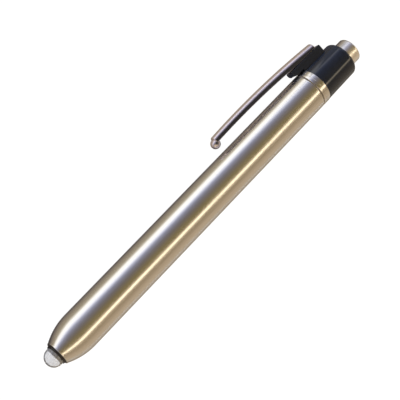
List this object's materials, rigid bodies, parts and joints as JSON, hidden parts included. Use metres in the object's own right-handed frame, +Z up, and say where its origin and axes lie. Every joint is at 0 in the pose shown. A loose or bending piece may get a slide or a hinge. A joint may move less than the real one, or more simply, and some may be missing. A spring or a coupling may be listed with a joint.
{
  "type": "pocket penlight",
  "caption": "Slim metal pocket penlight with a bullet nose, lens-end lamp, screw-off tail with push button and sprung clip.",
  "frame": {"origin": "on the barrel's axis, at the middle of its straight side wall", "axes": "+X along the barrel, the way the beam leaves the lens; +Z up, with the pen lying on its barrel and clip; the clip leans to -Y"},
  "size_m": [0.1341, 0.0169, 0.012],
  "materials": {
    "barrel_steel": "polished stainless steel with a fine drawn grain",
    "button_steel": "turned and polished stainless steel",
    "clip_steel": "satin spring steel",
    "black_plastic": "black moulded plastic, satin gloss",
    "black_ring": "black, matt",
    "seal_fibre": "grey-brown fibre, pressed smooth",
    "lamp_glass": "clear",
    "bead_glass": "pale glass",
    "black_glass": "black glass",
    "tungsten": "dark wire",
    "lead_wire": "copper-coated wire",
    "brass": "pressed brass",
    "solder": "dull solder",
    "spring_wire": "bright spring wire",
    "cell_steel": "nickel-plated steel",
    "cell_filling": "packed powder",
    "cell_jacket": "plain plastic film",
    "ivory_plastic": "natural plastic"
  },
  "bodies": {
    "barrel": {"barrel_tube": "barrel_steel", "nose_gasket": "black_ring", "lamp_glass": "lamp_glass", "lamp_filament": "tungsten", "lamp_leads": "lead_wire", "lamp_bead": "bead_glass", "lamp_shell": "brass", "lamp_insulator": "black_glass", "lamp_contact": "solder", "lamp_holder": "brass", "contact_washer": "ivory_plastic", "front_cell_can": "cell_steel", "front_cell_filling": "cell_filling", "front_cell_nail": "brass", "front_cell_seal": "ivory_plastic", "front_cell_base": "cell_steel", "front_cell_jacket": "cell_jacket", "rear_cell_can": "cell_steel", "rear_cell_filling": "cell_filling", "rear_cell_nail": "brass", "rear_cell_seal": "ivory_plastic", "rear_cell_base": "cell_steel", "rear_cell_jacket": "cell_jacket"},
    "seam_seal": {"seam_seal": "seal_fibre"},
    "tail": {"tail_ferrule": "barrel_steel", "spring_bush": "ivory_plastic", "spring_seat": "brass", "battery_spring": "spring_wire", "contact_ring": "brass", "switch_housing": "black_plastic", "switch_retainer": "ivory_plastic"},
    "button": {"button_cap": "button_steel", "button_plunger": "brass", "button_spring": "spring_wire", "contact_disc": "brass"},
    "clip": {"clip_strip": "clip_steel", "clip_pin": "spring_wire"}
  },
  "joints": [
    {"name": "tail_travel", "type": "slide", "parent": "barrel", "child": "seam_seal", "axis": [-1, 0, 0], "range_m": [0, 0.006], "deforming": ["battery_spring"]},
    {"name": "tail_turn", "type": "hinge", "parent": "seam_seal", "child": "tail", "pos_m": [0, 0, 0], "axis": [-1, 0, 0], "range_deg": [0, 2160]},
    {"name": "button_press", "type": "slide", "parent": "tail", "child": "button", "axis": [1, 0, 0], "range_m": [0, 0.0015], "stiffness_N_per_m": 600, "springref_m": -0.002, "deforming": ["button_spring"]},
    {"name": "clip_flex", "type": "hinge", "parent": "tail", "child": "clip", "pos_m": [-0.05954, -0.00781, -0.00361], "axis": [0, 0.42, -0.9075], "range_deg": [0, 4], "stiffness_Nm_per_rad": 3, "springref_deg": -0.57}
  ],
  "couplings": [
    {"joint": "tail_turn", "follows": "tail_travel", "rad_per_m": 6283.2}
  ]
}
